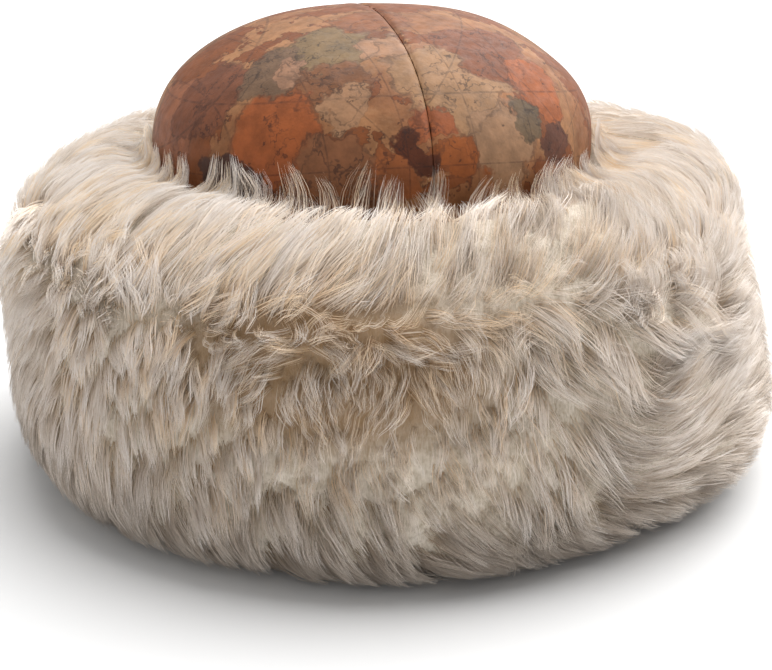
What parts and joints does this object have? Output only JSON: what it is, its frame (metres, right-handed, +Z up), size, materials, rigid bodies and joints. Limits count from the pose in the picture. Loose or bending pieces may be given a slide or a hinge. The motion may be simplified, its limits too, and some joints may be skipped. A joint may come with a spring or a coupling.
{
  "type": "telpek-style fur hat with a printed leather crown",
  "caption": "Round winter hat with a deep, shaggy cream sheepskin cuff and a soft domed crown of brown leather printed like an old chart.",
  "frame": {"origin": "middle of the hat's outline, on the surface that it rests on", "axes": "+Z up, -Y the front of the hat, +X the hat's left as it is worn"},
  "size_m": [0.3306, 0.3472, 0.1898],
  "materials": {
    "printed_leather": "satin, printed in browns, ochre and parchment",
    "sheepskin_hide": "matt suede",
    "fur": "long, soft, cream-white pile in loose locks"
  },
  "bodies": {
    "root": {"crown_left": "printed_leather", "crown_right": "printed_leather", "skin_band": "sheepskin_hide", "fur_cuff": "fur"}
  },
  "joints": []
}
